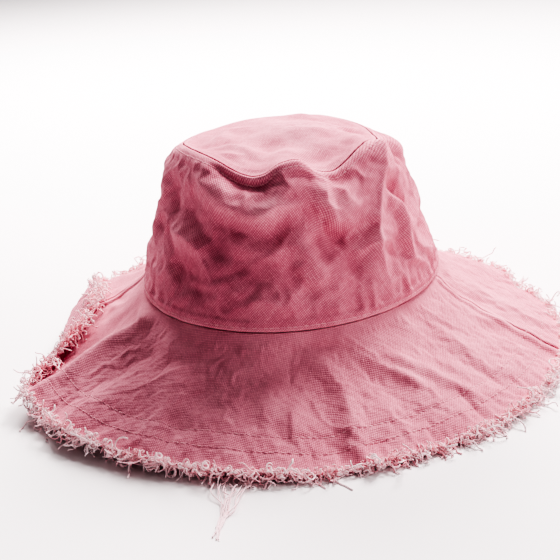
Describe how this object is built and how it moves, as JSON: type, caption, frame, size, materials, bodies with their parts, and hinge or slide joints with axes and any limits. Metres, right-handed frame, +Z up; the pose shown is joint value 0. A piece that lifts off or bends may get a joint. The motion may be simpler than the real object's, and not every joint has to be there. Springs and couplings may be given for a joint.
{
  "type": "bucket hat",
  "caption": "Soft washed canvas bucket hat with an oval top, a slumped crown and a wide flared brim with a frayed edge.",
  "frame": {"origin": "on the table, under the middle of the brim", "axes": "+Z up through the top of the crown; +Y along the head's length towards the back of the hat; the brim seams lie at +X and -X"},
  "size_m": [0.325, 0.4056, 0.1237],
  "materials": {
    "pink_canvas": "washed cotton canvas, plain weave, matt with a soft fuzz",
    "frayed_yarn": "loose washed cotton yarn, paler than the cloth",
    "pink_thread": "twisted cotton sewing thread",
    "band_twill": "cotton twill sweatband",
    "seam_tape": "folded cotton seam tape",
    "label_cloth": "blank white woven label"
  },
  "bodies": {
    "root": {"crown_tip": "pink_canvas", "crown_band": "pink_canvas", "brim_top_front": "pink_canvas", "brim_top_back": "pink_canvas", "brim_under_front": "pink_canvas", "brim_under_back": "pink_canvas", "frayed_edge_front": "frayed_yarn", "frayed_edge_back": "frayed_yarn", "loose_yarn": "frayed_yarn", "sweatband": "band_twill", "tip_seam_tape": "seam_tape", "back_seam_tape": "seam_tape", "care_label": "label_cloth", "tip_topstitch": "pink_thread", "base_topstitch": "pink_thread", "back_seam_topstitch": "pink_thread", "brim_stitch_outer": "pink_thread", "brim_stitch_inner": "pink_thread", "sweatband_stitch": "pink_thread"}
  },
  "joints": []
}
